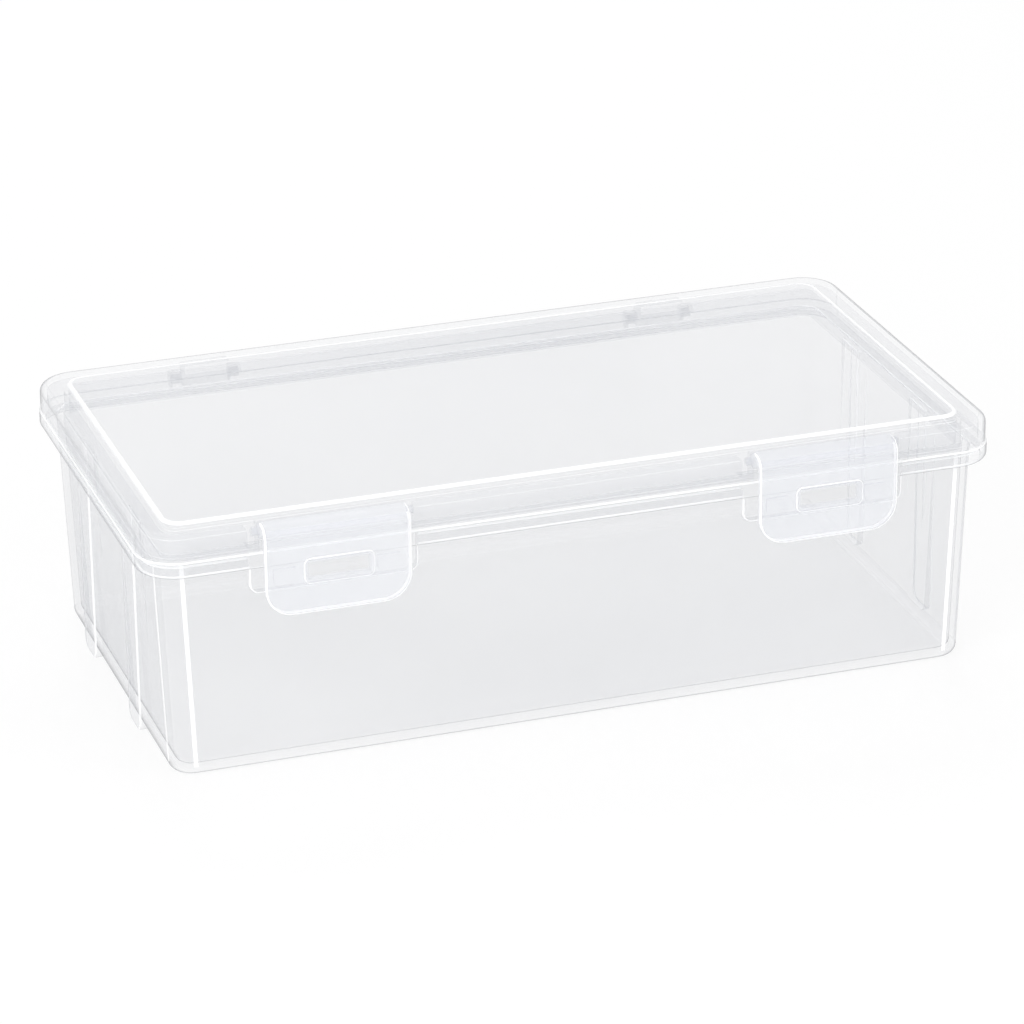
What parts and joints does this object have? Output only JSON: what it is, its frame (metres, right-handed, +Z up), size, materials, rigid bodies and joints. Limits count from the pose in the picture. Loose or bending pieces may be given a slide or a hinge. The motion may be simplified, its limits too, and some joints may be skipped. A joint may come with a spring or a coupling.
{
  "type": "pencil box",
  "caption": "Clear rectangular storage box with a flanged rim, a rear-hinged lid with a raised panel, and front snap latches that hook under the rim.",
  "frame": {"origin": "middle of the flat underside of the body", "axes": "+X along the length to the right, -Y towards the latches, +Z up through the lid"},
  "size_m": [0.22, 0.1248, 0.066],
  "materials": {
    "clear_shell": "clear, glossy",
    "clear_lid": "clear, glossy",
    "frosted_latch": "translucent, lightly frosted"
  },
  "bodies": {
    "box": {"body": "clear_shell"},
    "lid": {"lid": "clear_lid"},
    "left_latch": {"latch_left": "frosted_latch"},
    "right_latch": {"latch_right": "frosted_latch"}
  },
  "joints": [
    {"name": "lid_hinge", "type": "hinge", "parent": "box", "child": "lid", "pos_m": [0, 0.0608, 0.0576], "axis": [-1, 0, 0], "range_deg": [0, 110]},
    {"name": "left_latch_hinge", "type": "hinge", "parent": "lid", "child": "left_latch", "pos_m": [-0.063, -0.0556, 0.06335], "axis": [-1, 0, 0], "range_deg": [-5, 95]},
    {"name": "right_latch_hinge", "type": "hinge", "parent": "lid", "child": "right_latch", "pos_m": [0.063, -0.0556, 0.06335], "axis": [-1, 0, 0], "range_deg": [-5, 95]}
  ]
}
